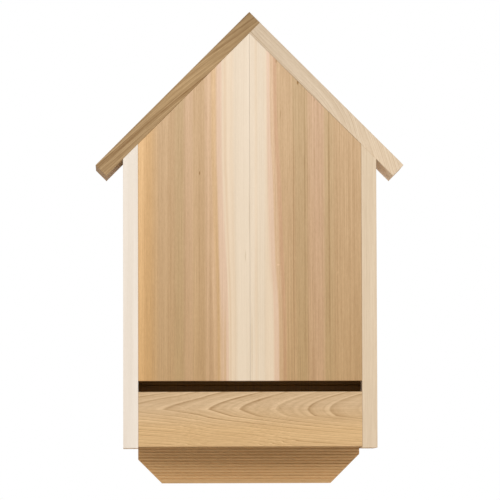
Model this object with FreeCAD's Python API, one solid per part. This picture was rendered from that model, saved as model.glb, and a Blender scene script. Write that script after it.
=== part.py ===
import FreeCAD, Part
import math
import os

# A two-chamber bat box of cedar boards that hangs flat against a wall.
# Millimetres. X runs across the box, Y from the front to the wall, Z up.
# The origin is on the back face and the centre line, level with the lower ends of the sides.
# The front faces -Y. Left is -X, as seen by someone who faces the box.

# Boards
board_thickness = 17.5
inner_width = 260.4
edge_ease = 0.3

# Depth, from the wall forwards
rear_chamber = 19.0
baffle_thickness = 9.5
front_chamber = 19.0

# Front, from the lower ends of the sides upwards
lower_board_lift = 1.6
lower_board_height = 63.5
vent_height = 12.7
gable_board_height = 406.4

# Roof
roof_pitch = 45.0
roof_slope_length = 254.0

# Landing, the lowest board of the back
landing_drop = 40.6
landing_board_height = 130.2
landing_cut_left = 28.0
landing_cut_right = 34.0

# Baffle between the chambers
baffle_lift = 19.0
roof_passage = 19.0
dado_depth = 4.8

# Scored lines that the bats hold on to
score_width = 1.7
score_depth = 0.9
landing_score_pitch = 3.5
roost_score_pitch = 7.0
score_margin = 5.0

# Keyhole slots in the back, for the heads of two wall screws
keyhole_spacing = 127.0
keyhole_below_peak = 130.0
keyhole_entry_radius = 4.8
keyhole_shank_width = 5.2
keyhole_lip = 4.8
keyhole_undercut = 4.7
keyhole_travel = 15.0

# Casing nails
nail_length = 38.0
nail_shank_radius = 0.9
nail_head_radius = 1.5
nail_head_height = 1.6
nail_point_length = 2.7
nail_tip_radius = 0.15
nail_set = 0.3
nail_facets = 12
nail_inset = 26.0
level_board_nail_inset = 16.0
upright_board_nails = 3
level_board_nails = 2
gable_nails = 2
ridge_nails = 2

# Clearances
seam_gap = 0.2
board_end_gap = 0.1
roof_gap = 0.15
dado_gap = 0.15
nail_gap = 0.05

# Places that follow from the sizes
back_face = 0.0
back_inside = back_face - board_thickness
baffle_back = back_inside - rear_chamber
baffle_front = baffle_back - baffle_thickness
front_inside = baffle_front - front_chamber
front_face = front_inside - board_thickness

inner_half = inner_width / 2
outer_half = inner_half + board_thickness
board_edge = inner_half - board_end_gap
seam_edge = seam_gap / 2
baffle_half = inner_half + dado_depth - dado_gap

lower_board_top = lower_board_lift + lower_board_height
vent_top = lower_board_top + vent_height
peak = vent_top + gable_board_height
landing_foot = -landing_drop
landing_top = landing_foot + landing_board_height
back_board_foot = landing_top + seam_gap

slope = math.radians(roof_pitch)
past = 2 * board_thickness
LEFT = -1
RIGHT = 1


def under_roof(x, drop=0.0):
    """Height at x of a line that lies the drop below the roof's underside, measured square to it."""
    return peak - (abs(x) * math.sin(slope) + drop) / math.cos(slope)


def prism_along_y(outline, y_from, y_to):
    """A solid with an outline in X and Z, from one Y to another."""
    points = [FreeCAD.Vector(x, y_from, z) for x, z in outline]
    face = Part.Face(Part.makePolygon(points + points[:1]))
    return face.extrude(FreeCAD.Vector(0, y_to - y_from, 0))


def prism_along_x(outline, x_from, x_to):
    """A solid with an outline in Y and Z, from one X to another."""
    points = [FreeCAD.Vector(x_from, y, z) for y, z in outline]
    face = Part.Face(Part.makePolygon(points + points[:1]))
    return face.extrude(FreeCAD.Vector(x_to - x_from, 0, 0))


def ease_edges_at(board, y):
    """Takes the sharp arris off the edges of a board's face at y, but not along a glued seam."""
    in_face = [e for e in board.Edges if all(abs(v.Y - y) < 1e-6 for v in e.Vertexes)]
    arrises = [e for e in in_face if any(abs(v.X) > 2 * seam_edge for v in e.Vertexes)]
    return board.makeChamfer(edge_ease, arrises)


def spread(low, high, inset, count):
    """Evenly spaced places from one end to the other, with both ends kept back by the inset."""
    step = (high - low - 2 * inset) / (count - 1)
    return [low + inset + step * i for i in range(count)]


def score_across(board, y, z_low, z_high, pitch):
    """Scores level V-shaped lines, a pitch apart, across a board's front face at y."""
    gaps = int((z_high - z_low - 2 * score_margin) / pitch)
    first = (z_low + z_high - gaps * pitch) / 2
    lead = score_depth / 4
    half = score_width / 2 * (score_depth + lead) / score_depth
    comb = [(y - past, first - pitch), (y - lead, first - pitch)]
    for i in range(gaps + 1):
        z = first + i * pitch
        comb += [(y - lead, z - half), (y + score_depth, z), (y - lead, z + half)]
    last = first + gaps * pitch
    comb += [(y - lead, last + pitch), (y - past, last + pitch)]
    return board.cut(prism_along_x(comb, -outer_half - past, outer_half + past))


# Nails. Each seat is a place, the centre of the head's top, and the direction that it was driven in.

def turned_about_axis(profile, place, direction):
    """A solid from radii and depths along a direction, as round as the nails' facets make it."""
    turn = FreeCAD.Rotation(FreeCAD.Vector(0, 0, -1), direction)
    step = 2 * math.pi / nail_facets

    def corner(radius, depth, i):
        point = FreeCAD.Vector(radius * math.cos(step * i), radius * math.sin(step * i), -depth)
        return place + turn.multVec(point)

    rings = [[corner(r, d, i) for i in range(nail_facets)] for r, d in profile]
    outlines = [rings[0]]
    for upper, lower in zip(rings, rings[1:]):
        for i in range(nail_facets):
            j = (i + 1) % nail_facets
            outlines.append([upper[i], lower[i], lower[j], upper[j]])
    outlines.append(rings[-1])
    faces = [Part.Face(Part.makePolygon(points + points[:1])) for points in outlines]
    return Part.Solid(Part.Shell(faces))


def nail(place, direction):
    """A casing nail: a small cone for a head, a round shank and a point."""
    profile = [
        (nail_head_radius, 0),
        (nail_shank_radius, nail_head_height),
        (nail_shank_radius, nail_length - nail_point_length),
        (nail_tip_radius, nail_length),
    ]
    return turned_about_axis(profile, place, direction)


def nail_hole(place, direction):
    """The hole that a nail has made, open above its head."""
    head = nail_head_radius + nail_gap
    shank = nail_shank_radius + nail_gap
    profile = [
        (head, -nail_set - past),
        (head, 0),
        (shank, nail_head_height),
        (shank, nail_length - nail_point_length),
        (nail_tip_radius + nail_gap, nail_length + nail_gap),
    ]
    return turned_about_axis(profile, place, direction)


def nail_group(seats):
    """Like nails, as separate solids of one piece."""
    return Part.makeCompound([nail(place, direction) for place, direction in seats])


def drilled(board, *groups):
    """A board with the holes of every nail of some groups."""
    holes = [nail_hole(place, direction) for seats in groups for place, direction in seats]
    return board.cut(holes)


def side_seats(side, y, heights):
    """Nails driven through a side, at one y, into the edge of a board between the sides."""
    x = side * (outer_half - nail_set)
    inwards = FreeCAD.Vector(-side, 0, 0)
    return [(FreeCAD.Vector(x, y, z), inwards) for z in heights]


def front_seats(side):
    """Nails into the edges of the front's gable board and of its lower board."""
    y = (front_face + front_inside) / 2
    gable = spread(vent_top, under_roof(inner_half), nail_inset, upright_board_nails)
    lower = spread(lower_board_lift, lower_board_top, level_board_nail_inset, level_board_nails)
    return side_seats(side, y, lower + gable)


def back_seats(side):
    """Nails into the edges of the landing board and of the back's gable board."""
    y = (back_inside + back_face) / 2
    gable = spread(back_board_foot, under_roof(inner_half), nail_inset, upright_board_nails)
    landing = spread(0, landing_top, level_board_nail_inset, level_board_nails)
    return side_seats(side, y, landing + gable)


def baffle_seats():
    """One nail through each side, half way up the baffle's edge."""
    y = (baffle_front + baffle_back) / 2
    middle = (baffle_lift + under_roof(baffle_half, roof_passage)) / 2
    return side_seats(LEFT, y, [middle]) + side_seats(RIGHT, y, [middle])


def roof_seats(side):
    """Nails driven square through a roof board into the gable edges of the front and the back."""
    outwards = FreeCAD.Vector(side * math.sin(slope), 0, math.cos(slope))
    seats = []
    for y in ((front_face + front_inside) / 2, (back_inside + back_face) / 2):
        for x in spread(0, inner_half, nail_inset, gable_nails):
            foot = FreeCAD.Vector(side * x, y, under_roof(x))
            seats.append((foot + outwards * (board_thickness - nail_set), -outwards))
    return seats


def ridge_seats():
    """Nails driven square through the left roof board into the upper end of the right one."""
    outwards = FreeCAD.Vector(-math.sin(slope), 0, math.cos(slope))
    x = board_thickness / (4 * math.sin(slope))
    z = peak + board_thickness / (4 * math.cos(slope))
    seats = []
    for y in spread(front_face, back_face, nail_inset, ridge_nails):
        foot = FreeCAD.Vector(x, y, z)
        seats.append((foot + outwards * (board_thickness - nail_set), -outwards))
    return seats


# Boards

def side_board(side):
    """A side with its top mitred to the roof and a dado down its inner face for the baffle."""
    outline = [
        (side * outer_half, 0),
        (side * inner_half, 0),
        (side * inner_half, under_roof(inner_half)),
        (side * outer_half, under_roof(outer_half)),
    ]
    board = prism_along_y(outline, front_face, back_face)
    board = ease_edges_at(ease_edges_at(board, front_face), back_face)
    dado = prism_along_y(
        [
            (side * (inner_half - past), -past),
            (side * (inner_half + dado_depth), -past),
            (side * (inner_half + dado_depth), peak),
            (side * (inner_half - past), peak),
        ],
        baffle_front - dado_gap,
        baffle_back + dado_gap,
    )
    baffle_nails = [seat for seat in baffle_seats() if seat[0].x * side > 0]
    return drilled(board.cut(dado), front_seats(side), back_seats(side), baffle_nails)


def gable_board(side, foot, y_from, y_to):
    """One upright half of the front or the back, cut to the roof's pitch."""
    outline = [
        (side * seam_edge, foot),
        (side * board_edge, foot),
        (side * board_edge, under_roof(board_edge, roof_gap)),
        (side * seam_edge, under_roof(seam_edge, roof_gap)),
    ]
    return prism_along_y(outline, y_from, y_to)


def front_board(side):
    """Half of the front's upper panel, over the vent slot."""
    board = ease_edges_at(gable_board(side, vent_top, front_face, front_inside), front_face)
    return drilled(board, front_seats(side), roof_seats(side))


def lower_front_board():
    """The level board under the vent slot, which screens the entrance."""
    outline = [
        (-board_edge, lower_board_lift),
        (board_edge, lower_board_lift),
        (board_edge, lower_board_top),
        (-board_edge, lower_board_top),
    ]
    board = ease_edges_at(prism_along_y(outline, front_face, front_inside), front_face)
    return drilled(board, front_seats(LEFT), front_seats(RIGHT))


def keyhole(x, z):
    """A slot that a screw's head enters by the round hole and slides up under the lip."""
    lip_floor = back_face - keyhole_lip
    floor = lip_floor - keyhole_undercut
    entry = FreeCAD.Vector(x, back_face + past, z)
    forwards = FreeCAD.Vector(0, -1, 0)
    hole = Part.makeCylinder(keyhole_entry_radius, past - floor, entry, forwards)
    neck = upright_slot(x, z, keyhole_shank_width / 2, back_face + past, lip_floor)
    under = upright_slot(x, z, keyhole_entry_radius, lip_floor, floor)
    return [hole, neck, under]


def upright_slot(x, z, radius, y_from, y_to):
    """A slot with round ends, from the entry at z up to where the screw seats."""
    top = z + keyhole_travel
    low_left = FreeCAD.Vector(x - radius, y_from, z)
    low_right = FreeCAD.Vector(x + radius, y_from, z)
    high_left = FreeCAD.Vector(x - radius, y_from, top)
    high_right = FreeCAD.Vector(x + radius, y_from, top)
    below = FreeCAD.Vector(x, y_from, z - radius)
    above = FreeCAD.Vector(x, y_from, top + radius)
    edges = [
        Part.LineSegment(high_left, low_left).toShape(),
        Part.Arc(low_left, below, low_right).toShape(),
        Part.LineSegment(low_right, high_right).toShape(),
        Part.Arc(high_right, above, high_left).toShape(),
    ]
    return Part.Face(Part.Wire(edges)).extrude(FreeCAD.Vector(0, y_to - y_from, 0))


def back_board(side):
    """Half of the back's upper panel, scored on the chamber side, with a keyhole slot."""
    board = gable_board(side, back_board_foot, back_inside, back_face)
    board = score_across(board, back_inside, back_board_foot, peak, roost_score_pitch)
    board = board.cut(keyhole(side * keyhole_spacing / 2, peak - keyhole_below_peak))
    return drilled(board, back_seats(side), roof_seats(side))


def landing_board():
    """The lowest board of the back. It hangs below the entrance with its corners clipped."""
    outline = [
        (-board_edge, landing_top),
        (-board_edge, landing_foot + landing_cut_left),
        (-board_edge + landing_cut_left, landing_foot),
        (board_edge - landing_cut_right, landing_foot),
        (board_edge, landing_foot + landing_cut_right),
        (board_edge, landing_top),
    ]
    board = ease_edges_at(prism_along_y(outline, back_inside, back_face), back_inside)
    board = score_across(board, back_inside, landing_foot, landing_top, landing_score_pitch)
    return drilled(board, back_seats(LEFT), back_seats(RIGHT))


def baffle():
    """The thin board between the chambers, scored in front, held in the dadoes of the sides."""
    outline = [
        (-baffle_half, baffle_lift),
        (baffle_half, baffle_lift),
        (baffle_half, under_roof(baffle_half, roof_passage)),
        (0, under_roof(0, roof_passage)),
        (-baffle_half, under_roof(baffle_half, roof_passage)),
    ]
    board = prism_along_y(outline, baffle_front, baffle_back)
    top = under_roof(0, roof_passage)
    board = score_across(board, baffle_front, baffle_lift, top, roost_score_pitch)
    return drilled(board, baffle_seats())


def eave_corners(side):
    """The upper and the lower corner of a roof board's end at the eave."""
    apex_height = peak + board_thickness / math.cos(slope)
    top_x = roof_slope_length * math.cos(slope)
    top_z = apex_height - roof_slope_length * math.sin(slope)
    low_x = top_x - board_thickness * math.sin(slope)
    low_z = top_z - board_thickness * math.cos(slope)
    return (side * top_x, top_z), (side * low_x, low_z)


def lap_corner():
    """Where the left roof board's end meets the top of the right one."""
    x = board_thickness / (2 * math.sin(slope))
    return x, peak + board_thickness / (2 * math.cos(slope))


def roof_board_left():
    """The roof board that runs over the ridge and covers the other one's end."""
    apex = (0, peak + board_thickness / math.cos(slope))
    eave_top, eave_low = eave_corners(LEFT)
    outline = [apex, eave_top, eave_low, (0, peak), lap_corner()]
    board = prism_along_y(outline, front_face, back_face)
    board = ease_edges_at(ease_edges_at(board, front_face), back_face)
    return drilled(board, roof_seats(LEFT), ridge_seats())


def roof_board_right():
    """The roof board that butts against the underside of the other one."""
    eave_top, eave_low = eave_corners(RIGHT)
    outline = [lap_corner(), (0, peak), eave_low, eave_top]
    board = prism_along_y(outline, front_face, back_face)
    board = ease_edges_at(ease_edges_at(board, front_face), back_face)
    return drilled(board, roof_seats(RIGHT), ridge_seats())


parts = {
    "left_side": side_board(LEFT),
    "right_side": side_board(RIGHT),
    "front_board_left": front_board(LEFT),
    "front_board_right": front_board(RIGHT),
    "lower_front_board": lower_front_board(),
    "back_board_left": back_board(LEFT),
    "back_board_right": back_board(RIGHT),
    "landing_board": landing_board(),
    "baffle": baffle(),
    "roof_board_left": roof_board_left(),
    "roof_board_right": roof_board_right(),
    "left_front_nails": nail_group(front_seats(LEFT)),
    "right_front_nails": nail_group(front_seats(RIGHT)),
    "left_back_nails": nail_group(back_seats(LEFT)),
    "right_back_nails": nail_group(back_seats(RIGHT)),
    "baffle_nails": nail_group(baffle_seats()),
    "left_roof_nails": nail_group(roof_seats(LEFT)),
    "right_roof_nails": nail_group(roof_seats(RIGHT)),
    "ridge_nails": nail_group(ridge_seats()),
}

os.makedirs("parts", exist_ok=True)
for name, shape in parts.items():
    shape.exportStep("parts/" + name + ".step")
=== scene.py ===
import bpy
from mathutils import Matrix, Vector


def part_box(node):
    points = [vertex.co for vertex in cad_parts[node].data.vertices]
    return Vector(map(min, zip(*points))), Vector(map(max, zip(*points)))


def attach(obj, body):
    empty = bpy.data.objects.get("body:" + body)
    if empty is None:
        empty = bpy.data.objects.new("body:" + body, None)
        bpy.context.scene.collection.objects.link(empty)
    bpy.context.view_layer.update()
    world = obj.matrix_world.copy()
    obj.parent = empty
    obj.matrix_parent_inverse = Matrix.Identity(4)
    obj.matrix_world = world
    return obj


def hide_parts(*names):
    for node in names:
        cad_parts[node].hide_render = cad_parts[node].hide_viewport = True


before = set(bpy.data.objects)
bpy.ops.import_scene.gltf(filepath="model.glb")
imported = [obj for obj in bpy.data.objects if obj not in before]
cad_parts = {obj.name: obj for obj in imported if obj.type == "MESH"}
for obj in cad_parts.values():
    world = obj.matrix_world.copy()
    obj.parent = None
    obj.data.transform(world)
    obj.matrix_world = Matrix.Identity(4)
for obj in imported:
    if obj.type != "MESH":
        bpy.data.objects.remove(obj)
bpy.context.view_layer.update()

import math
from functools import partial

import bpy
from mathutils import Matrix, Vector

bl_info = {
    "name": "Cedar bat box",
    "version": (1, 0, 0),
    "blender": (4, 5, 0),
    "location": "3D View > Sidebar > Bat Box",
    "description": "Dresses a packed bat box in cedar, drives its nails and sets a plain studio",
    "category": "Object",
}

MM = 0.001
LEFT, RIGHT = -1, 1

# The box as the frame gives it, in metres. X runs across, Y from the front to the wall, Z up.
SIDE_LOW, SIDE_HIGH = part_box("left_side")
FRONT_LOW, FRONT_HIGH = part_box("front_board_left")
BACK_LOW, BACK_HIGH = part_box("back_board_left")
LOWER_LOW, LOWER_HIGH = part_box("lower_front_board")
LANDING_LOW, LANDING_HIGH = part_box("landing_board")
BAFFLE_LOW, BAFFLE_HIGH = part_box("baffle")
ROOF_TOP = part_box("roof_board_left")[1].z

OUTER_HALF = -SIDE_LOW.x
INNER_HALF = -SIDE_HIGH.x
BOARD_THICKNESS = OUTER_HALF - INNER_HALF
# Both roof boards slope alike, and their undersides meet at the peak.
SLOPE = math.radians(45)
PEAK = SIDE_HIGH.z + INNER_HALF
# A roof board's length down the slope, in millimetres. The frame's level box doesn't give it.
ROOF_LENGTH = 254


def linear(hex_colour):
    """A colour written as sRGB hex, as the linear values that Blender's sockets hold."""
    channels = [int(hex_colour[i:i + 2], 16) / 255 for i in (1, 3, 5)]
    return tuple(c / 12.92 if c <= 0.04045 else ((c + 0.055) / 1.055) ** 2.4 for c in channels)


def tone(name, description, hex_colour):
    """A setting that holds one colour of the wood."""
    return bpy.props.FloatVectorProperty(
        name=name, description=description, subtype="COLOR", size=3, min=0, max=1,
        default=linear(hex_colour))


def distance(name, description, metres):
    """A setting that holds a length."""
    return bpy.props.FloatProperty(
        name=name, description=description, unit="LENGTH", subtype="DISTANCE", default=metres)


def angle(name, description, degrees):
    """A setting that holds an angle."""
    return bpy.props.FloatProperty(
        name=name, description=description, unit="ROTATION", subtype="ANGLE",
        default=math.radians(degrees))


class CedarTones(bpy.types.PropertyGroup):
    """The colours of the cedar, from white sapwood to brown heartwood, and the baffle's dark tone,
    which is painted shade for the vent slot.
    """

    heart: tone("Heartwood", "Plain heartwood, planed", "#D1AF88")
    olive: tone("Olive heartwood", "The greener streaks of the heartwood", "#CBAC84")
    rose: tone("Rosy heartwood", "The pinker streaks of the heartwood", "#D5B28F")
    amber: tone("Amber", "The oily, orange wood of a few rings", "#EBC18E")
    rust: tone("Rust", "The darker edge of the heartwood, next to the sapwood", "#D5AD8B")
    mauve: tone("Mauve", "The reddest band of the heartwood", "#D4B08F")
    gold: tone("Gold", "Heartwood beside the amber", "#DCB381")
    blush: tone("Blush", "The palest, pinkest heartwood, near the sapwood", "#DFBC99")
    sap: tone("Sapwood", "The pale outer wood of the log", "#EEDCC5")
    blond: tone("Blond", "Sapwood with a faint warm cast, next to the heartwood", "#EBD5BA")
    peach: tone("Peach sapwood", "The warmer streaks of the sapwood", "#E4C9AA")
    glow: tone("Glow", "The bright line of heartwood beside the sapwood", "#E1BF9D")
    apricot: tone("Apricot", "The orange edge of the heartwood, against the pink border", "#DFBB91")
    lilac: tone("Lilac border", "The pink line where sapwood meets heartwood", "#E7C8AE")
    milk: tone("White sapwood", "The palest sapwood, next to the bark", "#EFE3D5")
    brown: tone("Brown heartwood", "Darker heartwood from near the log's centre", "#B59469")
    tan: tone("Tan heartwood", "Even, light heartwood of the landing board", "#D6AD79")
    straw: tone("Straw", "Yellow heartwood, cut flat, where the flames show", "#D0B088")
    honey: tone("Honey", "The same wood further from the log's centre", "#D9B380")
    wheat: tone("Wheat", "Pale heartwood with a grey cast", "#E2CBAE")
    cream: tone("Cream", "Sapwood that has begun to turn", "#DFC9AC")
    # Painted shade: the baffle takes this dark tone so that the wood seen through the vent slot shows
    # the slot's deep shade.
    smoke: tone("Painted_slot_shade", "The dark stain of the baffle, which bats prefer to pale wood", "#694302")


class NailSizes(bpy.types.PropertyGroup):
    """A casing nail and how it was driven."""

    head_radius: distance("Head radius", "Radius of the head where it is widest", 1.48 * MM)
    shank_radius: distance("Shank radius", "Radius of the shank below the head", 0.9 * MM)
    length: distance("Length", "From the top of the head to the tip of the point", 38 * MM)
    head_height: distance("Head height", "From the top of the head to the shank", 1.6 * MM)
    point_length: distance("Point length", "Length of the point at the end of the shank", 2.7 * MM)
    set_depth: distance("Set", "How far the head's top lies below the wood", 0.3 * MM)
    facets: bpy.props.IntProperty(
        name="Facets", description="Corners around the nail", min=12, max=64, default=28)
    seed: bpy.props.IntProperty(
        name="Seed", description="Chooses how each nail happens to be turned", default=7)


class StudioSetup(bpy.types.PropertyGroup):
    """The camera, the strength of the light, and the floor's height."""

    camera_place: bpy.props.FloatVectorProperty(
        name="Camera", description="Place of the camera",
        unit="LENGTH", subtype="TRANSLATION", size=3, default=(-0.145, -4.767, -0.064))
    camera_yaw: angle("Yaw", "How far the camera turns towards the right of the box", 1.7735)
    camera_pitch: angle("Pitch", "How far the camera looks up", 3.59)
    camera_roll: angle("Roll", "How far the camera leans", -0.16)
    lens: bpy.props.FloatProperty(
        name="Lens", description="Focal length, in millimetres on a 36 mm sensor", default=290.4)
    key_power: bpy.props.FloatProperty(
        name="Key lamp", description="Power of the lamp in front, a little above the box",
        unit="POWER", default=42)
    back_power: bpy.props.FloatProperty(
        name="Back lamp", description="Power of the lamp behind the box, for the other views",
        unit="POWER", default=50)
    sky: bpy.props.FloatProperty(
        name="Sky", description="Strength of the light from all around", default=0.76)
    floor_drop: distance("Floor drop", "Height of the box's foot above the floor", 0.03)


# How each board was cut from its log. Lengths are millimetres in the board's own frame: u runs along
# the grain, v across the board's width and w through its thickness, from the board's middle. The low
# end is where u is lowest, and the low edge where v is. Curves start there, with shares from 0 to 1.
# axes: the world directions of u, v and w
# seed: chooses the waves and the fibres
# pith: where the log's centre lies, across and through the board
# ring: growth of one year
# taper: how much each ring's radius grows with every millimetre along the board, which draws flames
# pinch: how far the flames are drawn to a point, at places along the board
# pinch_reach: how much closer that brings the rings above the pith and below it, and how far below the
# flames end
# tips: where the tips of the flames lie along the board
# wander: how far the grain waves from side to side
# rings, streaks, flecks: how strongly the latewood, the long streaks and the short fibres show
# latewood: the darkening share of a year's growth, half of it unless given
# years: how strong the latewood of each year is, from the innermost year outwards, in place of luck
# weakest: how strong the latewood of the weakest year is, where luck decides, 0.3 unless given
# fade: how strong the latewood is at the board's low edge, as a share of its strength in the middle
# bands: tones across the board
# drift: how far the bands have drifted across, at places along the board, as shares of drift_reach
# drift_over: how much of that drift there is at places across the board
# dip: how far the grain has dipped through the board, at places along it, as shares of dip_reach
# tints: colours that multiply the heartwood at the low end, the middle and the high end. On the
# upright front boards they are painted shade: each board is darker at its foot and lighter at its top,
# for light falling off downwards
# marks: streaks, pitch and bruises as place (u, v), half length, half width and change of lightness
# skin: darkening of the wood near the board's upper face, as its depth and its strength
UPRIGHT = (Vector((0, 0, 1)), Vector((1, 0, 0)), Vector((0, 1, 0)))
UPRIGHT_ON_EDGE = (Vector((0, 0, 1)), Vector((0, 1, 0)), Vector((-1, 0, 0)))
LEVEL = (Vector((1, 0, 0)), Vector((0, 0, 1)), Vector((0, -1, 0)))
DOWN_LEFT, DOWN_RIGHT = (
    (Vector((side * math.cos(SLOPE), 0, -math.sin(SLOPE))),
     Vector((0, side, 0)),
     Vector((side * math.sin(SLOPE), 0, math.cos(SLOPE))))
    for side in (LEFT, RIGHT)
)

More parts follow.
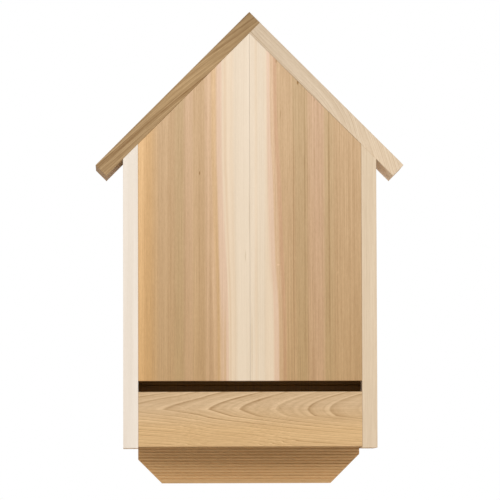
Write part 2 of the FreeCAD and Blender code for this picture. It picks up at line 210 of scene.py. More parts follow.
CUTS = {
    "front_board_left": dict(
        axes=UPRIGHT, seed=1.7, pith=(-190, 90), ring=3.3, taper=0.003,
        wander=0.5, rings=0.15, weakest=0.05, streaks=0.11, flecks=0.19,
        bands=[
            (0.00, "amber"), (0.05, "amber"), (0.08, "gold"), (0.10, "gold"), (0.19, "heart"),
            (0.31, "heart"), (0.345, "olive"), (0.395, "olive"), (0.43, "rose"), (0.475, "rose"),
            (0.50, "heart"), (0.59, "heart"), (0.608, "rose"), (0.617, "rose"), (0.63, "blush"),
            (0.648, "blush"), (0.667, "apricot"), (0.69, "apricot"), (0.714, "lilac"),
            (0.743, "lilac"), (0.76, "blond"), (0.78, "peach"), (0.80, "blond"), (0.84, "blond"),
            (0.87, "sap"), (1.00, "sap"),
        ],
        drift=[
            (0, 1.0), (0.126, 0.96), (0.226, 0.82), (0.30, 0.64), (0.38, 0.42), (0.457, 0.28),
            (0.572, 0.12), (0.66, 0), (1, 0),
        ],
        drift_reach=12,
        drift_over=[
            (0, 0), (0.60, 0), (0.638, 0.34), (0.674, 0.58), (0.695, 0.62), (0.715, 0.48),
            (0.73, 0.38), (0.746, 0.46), (0.768, 0.68), (0.783, 0.85), (0.80, 0.72), (0.82, 0.57),
            (0.86, 0.35), (1, 0),
        ],
        # Painted shade: the foot of the board is darker and its top lighter, for light that falls off
        # downwards.
        tints=("#EAE3D1", "#F3EFE7", "#FFFFFF"),
        marks=[
            (39, 6.6, 3.4, 0.8, -0.65), (-58, 60, 10, 0.6, -0.25), (20, -18, 230, 1.3, -0.09),
            (-30, 6, 200, 1.2, -0.10), (-30, 1.5, 260, 7, 0.05), (-60, -46, 150, 1.4, -0.05),
            (-5, 64.5, 45, 0.8, -0.12), (-110, 3, 90, 5, 0.045), (-140, -21, 50, 6, -0.055),
            (50, -14.5, 35, 4, -0.055), (0, -49, 300, 4.5, -0.045), (0, -33, 300, 6, 0.045),
            (-90, 23, 125, 3, 0.06),
        ],
    ),
    "front_board_right": dict(
        axes=UPRIGHT, seed=5.2, pith=(210, 80), ring=2.6, taper=0.003,
        wander=0.5, rings=0.22, weakest=0.05, streaks=0.14, flecks=0.20,
        bands=[
            (0.00, "sap"), (0.035, "sap"), (0.055, "blond"), (0.08, "sap"), (0.125, "sap"),
            (0.148, "blond"), (0.160, "lilac"), (0.176, "lilac"), (0.186, "glow"), (0.203, "glow"),
            (0.218, "rust"), (0.234, "rust"), (0.25, "heart"), (0.36, "heart"), (0.40, "olive"),
            (0.50, "olive"), (0.53, "rose"), (0.59, "mauve"), (0.65, "mauve"), (0.68, "olive"),
            (0.72, "olive"), (0.78, "heart"), (1.00, "heart"),
        ],
        drift=[
            (0, 1.0), (0.126, 0.99), (0.226, 0.91), (0.342, 0.72), (0.457, 0.58), (0.572, 0.44),
            (0.66, 0.26), (0.75, 0.08), (0.85, 0), (1, 0),
        ],
        drift_reach=11,
        drift_over=[
            (0, 0), (0.13, 0), (0.155, 0.15), (0.169, 0.3), (0.19, 0.55), (0.205, 0.7), (0.22, 0.73),
            (0.262, 0.95), (0.30, 1), (0.36, 0.9), (0.55, 0), (1, 0),
        ],
        # Painted shade: the foot of the board is darker and its top lighter, for light that falls off
        # downwards.
        tints=("#EAE3D1", "#F3EFE7", "#FFFFFF"),
        marks=[
            (-68, -32, 1.6, 2.4, 0.2), (-77, 37, 2.2, 1.5, 0.15), (-20, -14.0, 220, 1.0, -0.20),
            (0, -1.0, 260, 1.1, -0.17), (-10, 27.0, 230, 1.1, -0.30), (90, -20, 125, 7, 0.07),
            (145, -8.8, 3.6, 1.5, -0.6), (170, -33.6, 3.0, 1.2, -0.4), (125, 10.6, 2.6, 1.2, -0.2),
            (108, -28.9, 8, 0.9, -0.25), (-160, -63, 60, 1.6, -0.14), (-150, 60, 150, 7, -0.07),
            (0, -23.5, 300, 2.5, 0.06), (125, -12, 85, 5, 0.06), (-95, 24, 110, 6, -0.045),
            (-60, 49, 160, 6, 0.035), (-130, 6, 60, 5, 0.055), (-110, -57, 130, 5, -0.055),
        ],
    ),
    "lower_front_board": dict(
        axes=LEVEL, seed=9.4, pith=(11.1, -41.25), ring=2.8, taper=0.0625,
        pinch=[
            (0, 1), (0.12, 1), (0.25, 0.85), (0.33, 0.5), (0.42, 0.33), (0.55, 0.22), (0.75, 0.04),
            (1, 0),
        ],
        pinch_reach=(0.09, 0.40, 8),
        tips=(92, 67, 31, -12, -48, -101, -168),
        years=(
            0.7, 0.9, 0.4, 0.9, 1.0, 1.1, 0.7, 0.9, 0.6, 1.0, 0.7, 1.1, 0.8, 1.0, 0.7, 1.0, 0.8, 1.0,
            0.7, 0.9, 0.8,
        ),
        wander=0.9, rings=0.58, fade=0.85, latewood=0.26, streaks=0.08, flecks=0.18,
        bands=[(0.0, "honey"), (0.3, "honey"), (0.75, "straw"), (1.0, "straw")],
        dip=[(0, 0), (0.10, 0), (0.32, 0.33), (0.45, 0.4), (0.6, 0.7), (0.76, 1), (1, 1)],
        dip_reach=-20,
    ),
    "landing_board": dict(
        axes=LEVEL, seed=3.3, pith=(150, 60), ring=3.4, taper=0.012,
        wander=1.2, rings=0.27, streaks=0.15, flecks=0.14,
        bands=[(0.0, "tan"), (1.0, "tan")],
    ),
    "left_side": dict(
        axes=UPRIGHT_ON_EDGE, seed=12.1, pith=(8, -46), ring=3.1, taper=0.010,
        wander=2.4, rings=0.06, streaks=0.04, flecks=0.10,
        bands=[(0.0, "milk"), (0.3, "milk"), (0.5, "sap"), (0.75, "heart"), (1.0, "heart")],
    ),
    "right_side": dict(
        axes=UPRIGHT_ON_EDGE, seed=14.8, pith=(-5, 52), ring=2.9, taper=0.009,
        wander=2.4, rings=0.28, streaks=0.26, flecks=0.52,
        bands=[(0.0, "cream"), (0.4, "cream"), (0.7, "heart"), (1.0, "olive")],
    ),
    "roof_board_left": dict(
        axes=DOWN_LEFT, seed=21.6, pith=(4, -62), ring=5.5, taper=0,
        wander=1.6, rings=0.66, weakest=0.0, streaks=0.42, flecks=0.50,
        bands=[(0.0, "brown"), (1.0, "brown")], dip=[(0, 0), (0.5, 0.66), (1, 1)], dip_reach=27,
        tints=("#DDDAD3", "#FBFAF8", "#F2F2F2"), skin=(2.2, 0.22),
    ),
    "roof_board_right": dict(
        axes=DOWN_RIGHT, seed=25.0, pith=(10, -55), ring=2.8, taper=0,
        wander=1.0, rings=0.46, latewood=0.35, streaks=0.10, flecks=0.14,
        bands=[(0.0, "wheat"), (1.0, "wheat")],
        dip=[(0, 0), (0.45, 0.02), (0.55, 0.08), (0.75, 0.45), (1, 1)], dip_reach=-60,
        tints=("#ECECEC", "#F2F2F2", "#FFFFFF"), skin=(1.6, 0.10),
    ),
    "back_board_left": dict(
        axes=UPRIGHT, seed=31.9, pith=(20, 48), ring=3.4, taper=0.012,
        wander=3.0, rings=0.30, streaks=0.18, flecks=0.10,
        bands=[(0.0, "heart"), (0.4, "rose"), (0.7, "heart"), (1.0, "olive")],
    ),
    "back_board_right": dict(
        axes=UPRIGHT, seed=37.2, pith=(-35, 60), ring=3.2, taper=0.010,
        wander=3.0, rings=0.30, streaks=0.18, flecks=0.10,
        bands=[(0.0, "olive"), (0.3, "heart"), (0.6, "brown"), (1.0, "heart")],
    ),
    # Painted shade: the whole baffle is coloured in the dark tone that stands for the shade inside the
    # vent slot.
    "baffle": dict(
        axes=UPRIGHT, seed=41.5, pith=(30, 35), ring=3.8, taper=0.012,
        wander=3.0, rings=0.30, streaks=0.20, flecks=0.10,
        bands=[(0.0, "smoke"), (1.0, "smoke")],
    ),
}
# How far each pale tone counts as heartwood. Every other tone counts fully.
SAPWOOD, BORDER = 0.3, 0.5
HEARTWOOD_SHARE = {
    "sap": SAPWOOD, "blond": SAPWOOD, "peach": SAPWOOD, "cream": SAPWOOD, "milk": SAPWOOD,
    "lilac": BORDER,
}

# A wave of the grain: its length and width in millimetres, and its share through the board.
WAVE_LENGTH, WAVE_WIDTH, WAVE_THROUGH = 300, 75, 0.4
# Uneven growth shifts the rings by up to so many years, over so many millimetres of the radius.
UNEVEN_YEARS, UNEVEN_REACH = 1.6, 7.0
# Years that are counted beyond the last flame.
OUTER_YEARS = 14
# How dark one year's growth is, from the fading edge of the last ring to the thin line of its own.
# The places between depend on the cut's latewood. EARLYWOOD leaves a tone as it is.
RING_START = ((0.0, 0.5), (0.04, 0.0), (0.14, 0.05), (0.25, 0.33))
RING_END = ((0.93, 1.0), (0.97, 1.0), (1.0, 0.5))
EARLYWOOD = 0.35
# Luck makes most years weak and a few strong.
LUCK_POWER, STRONGEST_YEAR = 1.6, 1.2
# Fine lines within a year's growth.
LINES_PER_YEAR, LINE_STRENGTH = 6.0, 0.5
# Patterns of the fibre: length and width in millimetres, and detail. A real fibre is 0.04 mm wide
# and 3 mm long, too fine to show, so fuzz, flecks and hairs are drawn as coarse as they need to be.
FIBRES = {
    "fuzz": (5, 0.7, 1), "fleck": (32, 0.9, 2), "hair": (130, 0.8, 3), "streak": (330, 1.6, 3),
    "veil": (460, 11, 2), "patch": (120, 14, 1),
}
# The stain that the colour takes on end grain.
END_GRAIN = (*linear("#DACBBC"), 1)
# The node that is used most.
MATH = "ShaderNodeMath"
# A Mix node of colours has its factor, its colours and its result in these sockets.
FACTOR, COLOUR_A, COLOUR_B, MIXED = 0, 6, 7, 2


def feed(tree, socket, value):
    """Links an input to a socket, or to a node's first output, or sets it to a plain value."""
    if isinstance(value, bpy.types.Node):
        value = value.outputs[0]
    if isinstance(value, bpy.types.NodeSocket):
        tree.links.new(value, socket)
    else:
        socket.default_value = value


def add_node(tree, kind, inputs=(), stops=None, blend="LINEAR", curve=None, **settings):
    """Adds one node with its settings and links. Its inputs are listed in order, or named in a dict.
    A colour ramp also takes its stops, and a float curve its points."""
    node = tree.nodes.new(kind)
    for name, value in settings.items():
        setattr(node, name, value)
    if not isinstance(inputs, dict):
        inputs = dict(enumerate(inputs))
    for key, value in inputs.items():
        feed(tree, node.inputs[key], value)
    if stops:
        node.color_ramp.interpolation = blend
        elements = node.color_ramp.elements
        elements[0].position, elements[-1].position = stops[0][0], stops[-1][0]
        for place, _ in stops[1:-1]:
            elements.new(place)
        for element, (_, colour) in zip(elements, stops):
            element.color = colour if len(colour) == 4 else (*colour, 1)
    if curve:
        points = node.mapping.curves[0].points
        points[0].location, points[1].location = curve[0], curve[-1]
        for place in curve[1:-1]:
            points.new(*place)
        for point in points:
            point.handle_type = "AUTO_CLAMPED"
        node.mapping.update()
    return node


def empty_tree(owner):
    """The node tree of a new material or world, with nothing in it."""
    owner.use_nodes = True
    owner.node_tree.nodes.clear()
    return owner.node_tree


def grey(value):
    """One value for all three channels of a colour, or all three axes of a scale."""
    return (value, value, value)


def growth_rings(node, cut, share, u, v, w, dip):
    """How dark the growth is at a point: cylinders about the pith, cut by the board's faces."""
    pith_v, pith_w = cut["pith"]
    off = node(MATH, (v, pith_v), operation="SUBTRACT")
    deep = node(MATH, (w, pith_w), operation="SUBTRACT")
    reach = node("ShaderNodeCombineXYZ", (off, deep, 0))
    radius = node("ShaderNodeVectorMath", (reach,), operation="LENGTH").outputs["Value"]
    widening = node(MATH, (u, cut["taper"]), operation="MULTIPLY")
    radius = node(MATH, (radius, widening), operation="SUBTRACT")
    if "pinch" in cut:
        # The flames are drawn to a point at the low end. Below them the rings lie close and level.
        above, below, flame = cut["pinch_reach"]
        pinch = node("ShaderNodeFloatCurve", {"Value": share}, curve=cut["pinch"])
        rise = node(MATH, (off, 0), operation="MAXIMUM")
        rise = node(MATH, (rise, above), operation="MULTIPLY")
        fall = node(MATH, (off, -1), operation="MULTIPLY")
        fall = node(MATH, (fall, 0), operation="MAXIMUM")
        near = node(MATH, (fall, flame), operation="MINIMUM")
        near = node(MATH, (near, below), operation="MULTIPLY")
        far = node(MATH, (fall, flame), operation="SUBTRACT")
        far = node(MATH, (far, 0), operation="MAXIMUM")
        far = node(MATH, (far, below), operation="MULTIPLY")
        drawn = node(MATH, (rise, near), operation="ADD")
        drawn = node(MATH, (drawn, pinch), operation="MULTIPLY")
        radius = node(MATH, (radius, drawn), operation="ADD")
        radius = node(MATH, (radius, far), operation="ADD")

    uneven = node(MATH, (radius, UNEVEN_REACH), operation="DIVIDE")
    uneven = node("ShaderNodeTexNoise", {"W": uneven, "Scale": 1, "Detail": 2}, noise_dimensions="1D")
    if "tips" in cut:
        # Each flame is one ring. Its radius on the face is known from where its tip lies.
        shallow = BOARD_THICKNESS / MM / 2 - pith_w
        tips = [shallow - tip * cut["taper"] for tip in cut["tips"]]
        radii = [tips[0] - cut["ring"], *tips, tips[-1] + OUTER_YEARS * cut["ring"]]
        counts = [*range(len(tips) + 1), len(tips) + OUTER_YEARS]
        span = radii[-1] - radii[0]
        stops = [((r - radii[0]) / span, grey(c / counts[-1])) for r, c in zip(radii, counts)]
        reached = node(MATH, (radius, dip), operation="ADD")
        reached = node(
            "ShaderNodeMapRange", {"Value": reached, "From Min": radii[0], "From Max": radii[-1]})
        years = node("ShaderNodeValToRGB", (reached,), stops=stops)
        years = node(MATH, (years, counts[-1]), operation="MULTIPLY")
        # Growth is uneven only beyond the flames.
        shift = node(
            "ShaderNodeMapRange",
            {"Value": years, "From Min": len(tips) - 1, "From Max": len(tips) + 1,
             "To Max": UNEVEN_YEARS})
    else:
        years = node(MATH, (radius, cut["ring"]), operation="DIVIDE")
        shift = UNEVEN_YEARS
    shift = node(MATH, (uneven, shift), operation="MULTIPLY")
    years = node(MATH, (years, shift), operation="ADD")

    latewood = cut.get("latewood", 0.5)
    turning = ((1 - latewood, 0.36), (1 - latewood / 2, 0.68))
    late = node(MATH, (years,), operation="FRACT")
    late = node(
        "ShaderNodeValToRGB", (late,),
        stops=[(at, grey(dark)) for at, dark in (*RING_START, *turning, *RING_END)])
    if "years" in cut:
        stops = [(year / len(cut["years"]), grey(dark)) for year, dark in enumerate(cut["years"])]
        luck = node(MATH, (years, len(stops)), operation="DIVIDE")
        luck = node("ShaderNodeValToRGB", (luck,), stops=stops, blend="CONSTANT")
    else:
        luck = node(MATH, (years,), operation="FLOOR")
        luck = node("ShaderNodeTexWhiteNoise", {"W": luck}, noise_dimensions="1D")
        luck = node(MATH, (luck, LUCK_POWER), operation="POWER")
        luck = node(
            "ShaderNodeMapRange",
            {"Value": luck, "To Min": cut.get("weakest", 0.3), "To Max": STRONGEST_YEAR})
    late = node(MATH, (late, EARLYWOOD), operation="SUBTRACT")
    late = node(MATH, (late, luck), operation="MULTIPLY")
    lines = node(MATH, (years, LINES_PER_YEAR), operation="MULTIPLY")
    lines = node("ShaderNodeTexNoise", {"W": lines, "Scale": 1, "Detail": 2}, noise_dimensions="1D")
    lines = node(MATH, (lines, 0.5), operation="SUBTRACT")
    lines = node(MATH, (lines, LINE_STRENGTH), operation="MULTIPLY")
    return node(MATH, (late, lines), operation="ADD")


def cedar(node_name, tones):
    """Planed western red cedar. Close rings with a thin dark edge, fibres that run the board's length,
    bands of tan, rose and olive, and cream sapwood. The eye gets a dry, satin, finely lined wood."""
    cut = CUTS[node_name]
    low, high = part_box(node_name)
    along, across, through = cut["axes"]
    on_roof = cut["axes"] in (DOWN_LEFT, DOWN_RIGHT)
    length = ROOF_LENGTH if on_roof else abs(along.dot(high - low)) / MM
    width = abs(across.dot(high - low)) / MM
    full_width = {"From Min": -width / 2, "From Max": width / 2}
    turn = Matrix((along, across, through)).transposed()

    material = bpy.data.materials.new("planed_cedar_" + node_name)
    node = partial(add_node, empty_tree(material))

    # Millimetres in the board's own frame.
    place = node("ShaderNodeTexCoord")
    board = node(
        "ShaderNodeMapping",
        {"Vector": place.outputs["Object"], "Location": (low + high) / 2,
         "Rotation": turn.to_euler(), "Scale": grey(MM)},
        vector_type="TEXTURE")
    split = node("ShaderNodeSeparateXYZ", (board,)).outputs
    u, v, w = split

    # The grain waves slowly, and dips through some boards.
    wave = node(
        "ShaderNodeMapping",
        {"Vector": board, "Location": grey(cut["seed"]),
         "Scale": (1 / WAVE_LENGTH, 1 / WAVE_WIDTH, 1 / WAVE_WIDTH)})
    wave = node("ShaderNodeTexNoise", {"Vector": wave, "Scale": 1, "Detail": 2, "Roughness": 0.5})
    wave = node(MATH, (wave, 0.5), operation="SUBTRACT")
    wave = node(MATH, (wave, 2 * cut["wander"]), operation="MULTIPLY")
    v = node(MATH, (v, wave), operation="ADD")
    wave = node(MATH, (wave, WAVE_THROUGH), operation="MULTIPLY")
    w = node(MATH, (w, wave), operation="ADD")
    share = node("ShaderNodeMapRange", {"Value": u, "From Min": -length / 2, "From Max": length / 2})
    dip = 0.0
    if "dip" in cut:
        dip = node("ShaderNodeFloatCurve", {"Value": share}, curve=cut["dip"])
        dip = node(MATH, (dip, cut["dip_reach"]), operation="MULTIPLY")
        w = node(MATH, (w, dip), operation="SUBTRACT")
    late = growth_rings(node, cut, share, u, v, w, dip)

    # Patterns of the fibre, all drawn out along the grain.
    grain = node("ShaderNodeCombineXYZ", (u, v, w))
    fibres = {}
    for name, (run, grow, detail) in FIBRES.items():
        drawn = node(
            "ShaderNodeMapping",
            {"Vector": grain, "Location": (cut["seed"] * 3, cut["seed"] * 7, cut["seed"]),
             "Scale": (1 / run, 1 / grow, 1 / grow)})
        fibres[name] = node(
            "ShaderNodeTexNoise", {"Vector": drawn, "Scale": 1, "Detail": detail, "Roughness": 0.6})

    # Colour across the board. Only the bands drift, and the rings and fibres keep to the grain.
    banded = v
    if "drift" in cut:
        drift = node("ShaderNodeFloatCurve", {"Value": share}, curve=cut["drift"])
        over = node("ShaderNodeMapRange", {"Value": v, **full_width})
        over = node("ShaderNodeFloatCurve", {"Value": over}, curve=cut["drift_over"])
        drift = node(MATH, (drift, over), operation="MULTIPLY")
        drift = node(MATH, (drift, cut["drift_reach"]), operation="MULTIPLY")
        banded = node(MATH, (v, drift), operation="SUBTRACT")
    banded = node("ShaderNodeMapRange", {"Value": banded, **full_width})
    # The ramp's alpha tells heartwood from sapwood, which shows only a quarter of the figure.
    colours = [
        (at, (*getattr(tones, name), HEARTWOOD_SHARE.get(name, 1.0))) for at, name in cut["bands"]]
    colour, heart = node("ShaderNodeValToRGB", (banded,), stops=colours).outputs
    figure = node(
        "ShaderNodeMapRange", {"Value": heart, "From Min": SAPWOOD, "To Min": 0.28, "To Max": 1.0})
    # The rings show less in some patches and more in others.
    patch = node(
        "ShaderNodeMapRange",
        {"Value": fibres["patch"], "From Min": 0.3, "From Max": 0.7, "To Min": 0.45, "To Max": 1.35})
    rings = node(MATH, (figure, cut["rings"]), operation="MULTIPLY")
    strong = node(MATH, (late, patch), operation="MULTIPLY")
    strong = node(MATH, (strong, rings), operation="MULTIPLY")
    if "fade" in cut:
        fade = node(
            "ShaderNodeMapRange",
            {"Value": banded, "From Min": 0.0, "From Max": 0.6, "To Min": cut["fade"]})
        strong = node(MATH, (strong, fade), operation="MULTIPLY")

    # Each pattern swings about zero by its strength, between two levels of its noise. The veil is as
    # strong in sapwood as in heartwood.
    swings = {}
    for name, low_end, high_end, strength in (
        ("streak", 0.30, 0.70, cut["streaks"]), ("hair", 0.25, 0.75, 0.10),
        ("fleck", 0.25, 0.75, cut["flecks"]), ("fuzz", 0.25, 0.75, 0.13), ("veil", 0.35, 0.65, 0.08),
    ):
        swings[name] = node(
            "ShaderNodeMapRange",
            {"Value": fibres[name], "From Min": low_end, "From Max": high_end,
             "To Min": -strength / 2, "To Max": strength / 2}, clamp=False)
    fine = swings["streak"]
    for name in ("hair", "fleck", "fuzz"):
        fine = node(MATH, (fine, swings[name]), operation="ADD")
    fine = node(MATH, (fine, figure), operation="MULTIPLY")
    shade = node(MATH, (swings["veil"], fine), operation="ADD")
    shade = node(MATH, (shade, 1.0), operation="ADD")
    shade = node(MATH, (shade, strong), operation="SUBTRACT")

    # Marks in the face: dark streaks, pitch, bruises and torn fibre. Each is full over the inner fifth
    # of its reach and fades from there.
    face = node("ShaderNodeCombineXYZ", (u, v, 0))
    for mark_u, mark_v, half_long, half_wide, change in cut.get("marks", []):
        away = node("ShaderNodeVectorMath", (face, (mark_u, mark_v, 0)), operation="SUBTRACT")
        away = node(
            "ShaderNodeVectorMath", (away, (1 / half_long, 1 / half_wide, 0)), operation="MULTIPLY")
        away = node("ShaderNodeVectorMath", (away,), operation="LENGTH").outputs["Value"]
        spot = node(
            "ShaderNodeMapRange", {"Value": away, "From Min": 1.0, "From Max": 0.2, "To Max": change},
            interpolation_type="SMOOTHSTEP")
        shade = node(MATH, (shade, spot), operation="ADD")
    if "skin" in cut:
        depth, change = cut["skin"]
        top = BOARD_THICKNESS / MM / 2
        skin = node(
            "ShaderNodeMapRange",
            {"Value": split["Z"], "From Min": top - depth, "From Max": top, "To Max": change},
            interpolation_type="SMOOTHSTEP")
        shade = node(MATH, (shade, skin), operation="SUBTRACT")

    # Dark fibres and latewood are warmer than pale ones: they lose the most blue and the least red.
    red_loss, blue_loss = 0.8, 1.3
    darker = node(MATH, (shade, 1.0), operation="SUBTRACT")
    red = node(MATH, (darker, red_loss, 1.0), operation="MULTIPLY_ADD")
    blue = node(MATH, (darker, blue_loss, 1.0), operation="MULTIPLY_ADD")
    layers = [(1.0, node("ShaderNodeCombineColor", (red, shade, blue)))]
    # On the front boards the tints are painted shade, darker at the foot of each board.
    if "tints" in cut:
        stops = [*zip((0.0, 0.45, 0.85), map(linear, cut["tints"]))]
        layers.append((heart, node("ShaderNodeValToRGB", (share,), stops=stops)))

    # End grain drinks the light: darker, browner and rougher. It is full on a face that lies within 18
    # degrees of square to the grain, and gone beyond 44.
    end = node("ShaderNodeVectorMath", (place.outputs["Normal"], along), operation="DOT_PRODUCT")
    end = node(MATH, (end.outputs["Value"],), operation="ABSOLUTE")
    end = node(
        "ShaderNodeMapRange", {"Value": end, "From Min": 0.72, "From Max": 0.95},
        interpolation_type="SMOOTHSTEP")
    layers.append((node(MATH, (end, 0.75), operation="MULTIPLY"), END_GRAIN))
    for factor, layer in layers:
        colour = node(
            "ShaderNodeMix", {FACTOR: factor, COLOUR_A: colour, COLOUR_B: layer},
            data_type="RGBA", blend_type="MULTIPLY").outputs[MIXED]

    # Roughness and relief: those of the planed face, and what each pattern adds to them.
    totals = []
    for total, parts in (
        (0.58, ((fibres["hair"], 0.12), (end, 0.15), (late, -0.06))),
        (0.0, ((fibres["hair"], 0.6), (late, 0.35))),
    ):
        for pattern, amount in parts:
            part = node(MATH, (pattern, amount), operation="MULTIPLY")
            total = node(MATH, (total, part), operation="ADD")
        totals.append(total)
    rough, height = totals
    bump = node("ShaderNodeBump", {"Height": height, "Strength": 0.35, "Distance": 0.25 * MM})
    surface = node(
        "ShaderNodeBsdfPrincipled",
        {"Base Color": colour, "Roughness": rough, "Normal": bump,
         "IOR": 1.5, "Specular IOR Level": 0.35})
    node("ShaderNodeOutputMaterial", (surface,))
    return material


def nail_steel():
    """Electro-galvanised steel wire, headed cold. The eye gets a grey, slightly cloudy metal."""
    material = bpy.data.materials.new("galvanised_nail_steel")
    node = partial(add_node, empty_tree(material))
    place = node("ShaderNodeTexCoord").outputs["Object"]
    # The zinc's crystals are too fine to show, so clouds are drawn 0.7 mm wide and pits 0.2 mm.
    cloud = node("ShaderNodeTexNoise", {"Vector": place, "Scale": 1 / (0.7 * MM), "Detail": 3})
    pit = node("ShaderNodeTexNoise", {"Vector": place, "Scale": 1 / (0.2 * MM), "Detail": 2})
    zinc = node(
        "ShaderNodeValToRGB", (cloud,),
        stops=[(0.3, linear("#7E8285")), (0.5, linear("#A3A7AA")), (0.7, linear("#BDC0C2"))])
    rough = node("ShaderNodeMapRange", {"Value": cloud, "To Min": 0.30, "To Max": 0.55})
    bump = node("ShaderNodeBump", {"Height": pit, "Strength": 0.3, "Distance": 0.05 * MM})
    surface = node(
        "ShaderNodeBsdfPrincipled",
        {"Base Color": zinc, "Metallic": 1.0, "Roughness": rough, "Normal": bump})
    node("ShaderNodeOutputMaterial", (surface,))
    return material


def add_object(context, name, data):
    """A new object in the scene."""
    made = bpy.data.objects.new(name, data)
    context.scene.collection.objects.link(made)
    return made


def finish_board(context, *node_names):
    """Gives each board its own cut of cedar."""
    for name in node_names:
        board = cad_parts[name]
        material = cedar(name, context.scene.bat_box_tones)
        for slot in board.material_slots:
            slot.material = material


def spread(low, high, inset, count):
    """Evenly spaced places from one end to the other, with both ends kept back by the inset."""
    step = (high - low - 2 * inset) / (count - 1)
    return [low + inset + step * i for i in range(count)]


def side_seats(side, y, heights, set_depth):
    """Nails driven through a side: where each head's top lies, and the way that it was driven."""
    return [(Vector((side * (OUTER_HALF - set_depth), y, z)), Vector((-side, 0, 0))) for z in heights]


def roof_foot_seats(side, feet, set_depth):
    """Nails driven square through a roof board, above points on its underside."""
    outwards = Vector((side * math.sin(SLOPE), 0, math.cos(SLOPE)))
    return [(foot + outwards * (BOARD_THICKNESS - set_depth), -outwards) for foot in feet]


def nail_seats(set_depth):
    """The seats of every group of nails, by the CAD node that they stand for."""
    edge_inset, level_inset = 26 * MM, 16 * MM
    # Three nails go into each upright edge, and two into each shorter one.
    pair, row = 2, 3
    front_y = (FRONT_LOW.y + FRONT_HIGH.y) / 2
    back_y = (BACK_LOW.y + BACK_HIGH.y) / 2
    baffle_y = (BAFFLE_LOW.y + BAFFLE_HIGH.y) / 2
    front = spread(LOWER_LOW.z, LOWER_HIGH.z, level_inset, pair)
    front += spread(FRONT_LOW.z, SIDE_HIGH.z, edge_inset, row)
    back = spread(0, LANDING_HIGH.z, level_inset, pair)
    back += spread(BACK_LOW.z, SIDE_HIGH.z, edge_inset, row)
    baffle_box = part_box("baffle_nails")
    baffle = [(baffle_box[0].z + baffle_box[1].z) / 2]
    seats = {
        "left_front_nails": side_seats(LEFT, front_y, front, set_depth),
        "right_front_nails": side_seats(RIGHT, front_y, front, set_depth),
        "left_back_nails": side_seats(LEFT, back_y, back, set_depth),
        "right_back_nails": side_seats(RIGHT, back_y, back, set_depth),
        "baffle_nails": side_seats(LEFT, baffle_y, baffle, set_depth)
        + side_seats(RIGHT, baffle_y, baffle, set_depth),
    }
    gable = spread(0, INNER_HALF, edge_inset, pair)
    for side, name in ((LEFT, "left_roof_nails"), (RIGHT, "right_roof_nails")):
        feet = [Vector((side * x, y, PEAK - x)) for y in (front_y, back_y) for x in gable]
        seats[name] = roof_foot_seats(side, feet, set_depth)
    # At the ridge the left board laps the right one, and nails go into the middle of its end.
    lap = BOARD_THICKNESS / (4 * math.sin(SLOPE))
    feet = [
        Vector((lap, y, PEAK + lap)) for y in spread(SIDE_LOW.y, SIDE_HIGH.y, edge_inset, pair)]
    seats["ridge_nails"] = roof_foot_seats(LEFT, feet, set_depth)
    return seats


def nail_tree(material):
    """Geometry Nodes that stand a casing nail at every point, driven along its drive attribute."""
    tree = bpy.data.node_groups.new("Casing nails", "GeometryNodeTree")
    tree.is_modifier = True
    tree.interface.new_socket("Seats", in_out="INPUT", socket_type="NodeSocketGeometry")
    for name in ("Head radius", "Shank radius", "Length", "Head height", "Point length"):
        tree.interface.new_socket(name, in_out="INPUT", socket_type="NodeSocketFloat")
    for name in ("Facets", "Seed"):
        tree.interface.new_socket(name, in_out="INPUT", socket_type="NodeSocketInt")
    tree.interface.new_socket("Nails", in_out="OUTPUT", socket_type="NodeSocketGeometry")

    node = partial(add_node, tree)
    given = node("NodeGroupInput").outputs
    head, shank, length = given["Head radius"], given["Shank radius"], given["Length"]
    head_height = given["Head height"]
    shaft = node(MATH, (length, given["Point length"]), operation="SUBTRACT")

    # The nail's outline, each corner as a depth and a radius, and each of these as a size and the
    # share of it: a faintly crowned head, its cone, the shank and the point.
    outline = (
        ((length, 0.0), (head, 0.62)),
        ((head_height, 0.07), (head, 0.94)),
        ((head_height, 0.16), (head, 1.0)),
        ((head_height, 1.0), (shank, 1.0)),
        ((shaft, 1.0), (shank, 1.0)),
        ((length, 1.0), (shank, 0.16)),
    )
    index = node("GeometryNodeInputIndex")
    fields = []
    for corners in zip(*outline):
        choice = node("GeometryNodeIndexSwitch", data_type="FLOAT")
        for _ in corners[2:]:
            choice.index_switch_items.new()
        feed(tree, choice.inputs["Index"], index)
        for i, corner in enumerate(corners):
            feed(tree, choice.inputs[str(i)], node(MATH, corner, operation="MULTIPLY"))
        fields.append(choice)
    depth, radius = fields

    axis = node("GeometryNodeMeshLine", {"Count": len(outline), "Offset": (0, 0, MM)})
    place = node("ShaderNodeCombineXYZ", {"Z": depth})
    axis = node("GeometryNodeSetPosition", {"Geometry": axis, "Position": place})
    axis = node("GeometryNodeMeshToCurve", {"Mesh": axis})
    circle = node("GeometryNodeCurvePrimitiveCircle", {"Resolution": given["Facets"], "Radius": 1.0})
    nail = node(
        "GeometryNodeCurveToMesh",
        {"Curve": axis, "Profile Curve": circle, "Scale": radius, "Fill Caps": True})

    drive = node("GeometryNodeInputNamedAttribute", {"Name": "drive"}, data_type="FLOAT_VECTOR")
    # A Random Value of floats has its limits in sockets 2 and 3, and its result in 1.
    spin = node(
        "FunctionNodeRandomValue", {2: 0.0, 3: 2 * math.pi, "Seed": given["Seed"]},
        data_type="FLOAT").outputs[1]
    turn = node("FunctionNodeAxisAngleToRotation", {"Axis": (0, 0, 1), "Angle": spin})
    aim = node("FunctionNodeAlignRotationToVector", {"Rotation": turn, "Vector": drive}, axis="Z")
    nails = node(
        "GeometryNodeInstanceOnPoints", {"Points": given["Seats"], "Instance": nail, "Rotation": aim})
    nails = node("GeometryNodeRealizeInstances", {"Geometry": nails})
    nails = node("GeometryNodeSetMaterial", {"Geometry": nails, "Material": material})
    node("NodeGroupOutput", {"Nails": nails})
    return tree


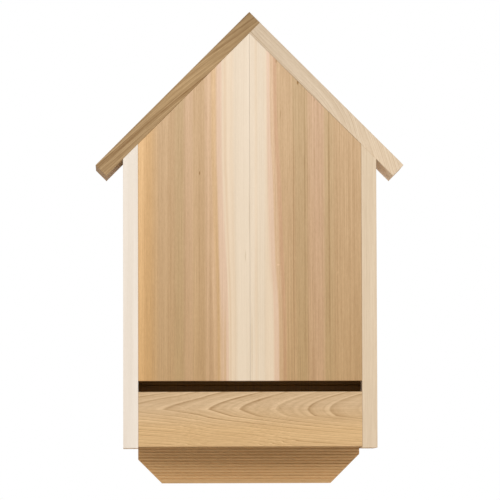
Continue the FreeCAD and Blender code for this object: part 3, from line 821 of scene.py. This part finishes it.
def drive_nails(context):
    """Makes every group of nails as one plain mesh that stands for its CAD node."""
    sizes = context.scene.bat_box_nails
    tree = nail_tree(nail_steel())
    values = {
        "Head radius": sizes.head_radius, "Shank radius": sizes.shank_radius, "Length": sizes.length,
        "Head height": sizes.head_height, "Point length": sizes.point_length,
        "Facets": sizes.facets, "Seed": sizes.seed,
    }
    for name, seats in nail_seats(sizes.set_depth).items():
        mesh = bpy.data.meshes.new("casing_" + name)
        mesh.from_pydata([place for place, _ in seats], [], [])
        attribute = mesh.attributes.new("drive", "FLOAT_VECTOR", "POINT")
        for item, (_, direction) in zip(attribute.data, seats):
            item.vector = direction
        nails = add_object(context, "casing_" + name, mesh)
        modifier = nails.modifiers.new("Casing nails", "NODES")
        modifier.node_group = tree
        for socket in tree.interface.items_tree:
            if socket.in_out == "INPUT" and socket.name in values:
                modifier[socket.identifier] = values[socket.name]
        seen = nails.evaluated_get(context.evaluated_depsgraph_get())
        made = bpy.data.meshes.new_from_object(seen)
        nails.modifiers.clear()
        nails.data = made
        bpy.data.meshes.remove(mesh)
        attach(nails, "root")
        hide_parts(name)


def seen_directly(node):
    """One for what the camera sees, also by way of metal or glass, and nought for the light itself."""
    path = node("ShaderNodeLightPath").outputs
    seen = node(MATH, (path["Is Camera Ray"], path["Is Glossy Ray"]), operation="MAXIMUM")
    return node(MATH, (seen, path["Is Transmission Ray"]), operation="MAXIMUM")


def floor_paper():
    """Pale matt studio paper. It keeps the box's shadow near the foot and runs out to plain white."""
    material = bpy.data.materials.new("studio_paper")
    node = partial(add_node, empty_tree(material))
    place = node("ShaderNodeTexCoord").outputs["Object"]
    # The paper's real tooth is about 0.3 mm, too fine to show, so it is drawn 1.5 mm wide.
    tooth = node("ShaderNodeTexNoise", {"Vector": place, "Scale": 1 / (1.5 * MM), "Detail": 2})
    seen = seen_directly(node)
    level = node("ShaderNodeVectorMath", (place, (1, 1, 0)), operation="MULTIPLY")
    away = node("ShaderNodeVectorMath", (level,), operation="LENGTH").outputs["Value"]
    shadow_reach, white_from = 0.45, 1.6
    fade = node(
        "ShaderNodeMapRange", {"Value": away, "From Min": shadow_reach, "From Max": white_from},
        interpolation_type="SMOOTHSTEP")
    fade = node(MATH, (fade, seen), operation="MULTIPLY")
    bump = node("ShaderNodeBump", {"Height": tooth, "Strength": 0.1, "Distance": 0.1 * MM})
    paper = node(
        "ShaderNodeBsdfPrincipled",
        {"Base Color": (*linear("#F4F2EE"), 1), "Roughness": 0.9, "Specular IOR Level": 0.1,
         "Normal": bump})
    white = node("ShaderNodeEmission", {"Color": (*linear("#FFFFFF"), 1), "Strength": 1.0})
    blend = node("ShaderNodeMixShader", (fade, paper, white))
    node("ShaderNodeOutputMaterial", (blend,))
    return material


def white_world(sky):
    """White to the camera and in reflections, and a plain level of light from all around."""
    world = bpy.data.worlds.new("studio_white")
    node = partial(add_node, empty_tree(world))
    level = node("ShaderNodeMapRange", {"Value": seen_directly(node), "To Min": sky, "To Max": 1.0})
    light = node("ShaderNodeBackground", {"Color": (*linear("#FFFFFF"), 1), "Strength": level})
    node("ShaderNodeOutputWorld", (light,))
    return world


def set_lamp(context, name, place, size, target, power):
    """A square soft lamp that faces a point."""
    lamp = bpy.data.lights.new(name, "AREA")
    lamp.shape = "SQUARE"
    lamp.size = size
    lamp.energy = power
    holder = add_object(context, name, lamp)
    holder.location = place
    holder.rotation_euler = (Vector(target) - Vector(place)).to_track_quat("-Z", "Y").to_euler()


# The stage in metres: the floor's disc, and each lamp's place and width.
FLOOR_RADIUS, FLOOR_CORNERS = 30.0, 64
KEY_LAMP = (-0.9, -4.2, 1.6), 0.9
BACK_LAMP = (0.8, 3.6, 2.4), 2.2


def set_stage(context):
    """Floor, world, lamps and the camera at the photograph's viewing angle."""
    studio = context.scene.bat_box_studio
    floor_z = LANDING_LOW.z - studio.floor_drop
    mesh = bpy.data.meshes.new("studio_floor")
    turns = [2 * math.pi * i / FLOOR_CORNERS for i in range(FLOOR_CORNERS)]
    rim = [(FLOOR_RADIUS * math.cos(turn), FLOOR_RADIUS * math.sin(turn), floor_z) for turn in turns]
    mesh.from_pydata(rim, [], [range(FLOOR_CORNERS)])
    mesh.materials.append(floor_paper())
    floor = add_object(context, "studio_floor", mesh)
    context.scene.world = white_world(studio.sky)

    middle = (0, (SIDE_LOW.y + SIDE_HIGH.y) / 2, (LANDING_LOW.z + ROOF_TOP) / 2)
    set_lamp(context, "key_lamp", *KEY_LAMP, middle, studio.key_power)
    set_lamp(context, "back_lamp", *BACK_LAMP, middle, studio.back_power)

    camera = bpy.data.cameras.new("photo_camera")
    camera.sensor_width = 36
    camera.lens = studio.lens
    camera.clip_start, camera.clip_end = 0.1, 100
    holder = add_object(context, "photo_camera", camera)
    holder.matrix_world = (
        Matrix.Translation(studio.camera_place)
        @ Matrix.Rotation(-studio.camera_yaw, 4, "Z")
        @ Matrix.Rotation(math.pi / 2 + studio.camera_pitch, 4, "X")
        @ Matrix.Rotation(studio.camera_roll, 4, "Z")
    )
    context.scene.camera = holder
    context.scene.view_settings.view_transform = "Standard"


class BATBOX_OT_finish_front(bpy.types.Operator):
    """Finishes the two upright boards of the front, with the sapwood between them"""

    bl_idname = "batbox.finish_front"
    bl_label = "Finish upper front"

    def execute(self, context):
        finish_board(context, "front_board_left", "front_board_right")
        return {"FINISHED"}


class BATBOX_OT_finish_lower_front(bpy.types.Operator):
    """Finishes the level board under the vent slot, with its flames"""

    bl_idname = "batbox.finish_lower_front"
    bl_label = "Finish lower front board"

    def execute(self, context):
        finish_board(context, "lower_front_board")
        return {"FINISHED"}


class BATBOX_OT_finish_sides(bpy.types.Operator):
    """Finishes the two sides, whose front edges are pale sapwood"""

    bl_idname = "batbox.finish_sides"
    bl_label = "Finish sides"

    def execute(self, context):
        finish_board(context, "left_side", "right_side")
        return {"FINISHED"}


class BATBOX_OT_finish_roof(bpy.types.Operator):
    """Finishes the brown left roof board and the pale right one"""

    bl_idname = "batbox.finish_roof"
    bl_label = "Finish roof boards"

    def execute(self, context):
        finish_board(context, "roof_board_left", "roof_board_right")
        return {"FINISHED"}


class BATBOX_OT_finish_back(bpy.types.Operator):
    """Finishes the two upright boards of the back"""

    bl_idname = "batbox.finish_back"
    bl_label = "Finish back boards"

    def execute(self, context):
        finish_board(context, "back_board_left", "back_board_right")
        return {"FINISHED"}


class BATBOX_OT_finish_landing(bpy.types.Operator):
    """Finishes the scored landing board"""

    bl_idname = "batbox.finish_landing"
    bl_label = "Finish landing board"

    def execute(self, context):
        finish_board(context, "landing_board")
        return {"FINISHED"}


class BATBOX_OT_finish_baffle(bpy.types.Operator):
    """Finishes the scored baffle between the chambers"""

    bl_idname = "batbox.finish_baffle"
    bl_label = "Finish baffle"

    def execute(self, context):
        finish_board(context, "baffle")
        return {"FINISHED"}


class BATBOX_OT_drive_nails(bpy.types.Operator):
    """Makes the casing nails that hold the boards"""

    bl_idname = "batbox.drive_nails"
    bl_label = "Drive nails"

    def execute(self, context):
        drive_nails(context)
        return {"FINISHED"}


class BATBOX_OT_set_stage(bpy.types.Operator):
    """Sets the floor, the lamps and the camera"""

    bl_idname = "batbox.set_stage"
    bl_label = "Set stage"

    def execute(self, context):
        set_stage(context)
        return {"FINISHED"}


OPERATORS = (
    BATBOX_OT_finish_front,
    BATBOX_OT_finish_lower_front,
    BATBOX_OT_finish_sides,
    BATBOX_OT_finish_roof,
    BATBOX_OT_finish_back,
    BATBOX_OT_finish_landing,
    BATBOX_OT_finish_baffle,
    BATBOX_OT_drive_nails,
    BATBOX_OT_set_stage,
)
SETTINGS = {
    "bat_box_tones": CedarTones,
    "bat_box_nails": NailSizes,
    "bat_box_studio": StudioSetup,
}


class BATBOX_PT_panel(bpy.types.Panel):
    """The steps that dress the box, in order, over the sizes and colours that they use"""

    bl_idname = "BATBOX_PT_panel"
    bl_label = "Bat box"
    bl_space_type = "VIEW_3D"
    bl_region_type = "UI"
    bl_category = "Bat Box"

    def draw(self, context):
        for operator in OPERATORS:
            self.layout.operator(operator.bl_idname)
        for setting, group in SETTINGS.items():
            box = self.layout.box()
            for name in group.__annotations__:
                box.prop(getattr(context.scene, setting), name)


def register():
    for cls in (*SETTINGS.values(), *OPERATORS, BATBOX_PT_panel):
        bpy.utils.register_class(cls)
    for setting, group in SETTINGS.items():
        setattr(bpy.types.Scene, setting, bpy.props.PointerProperty(type=group))


def unregister():
    for setting in SETTINGS:
        delattr(bpy.types.Scene, setting)
    for cls in (BATBOX_PT_panel, *reversed(OPERATORS), *reversed(SETTINGS.values())):
        bpy.utils.unregister_class(cls)


def main():
    register()
    bpy.ops.batbox.finish_front()
    bpy.ops.batbox.finish_lower_front()
    bpy.ops.batbox.finish_sides()
    bpy.ops.batbox.finish_roof()
    bpy.ops.batbox.finish_back()
    bpy.ops.batbox.finish_landing()
    bpy.ops.batbox.finish_baffle()
    bpy.ops.batbox.drive_nails()
    bpy.ops.batbox.set_stage()
    bpy.context.view_layer.update()


if __name__ == "__main__":
    main()
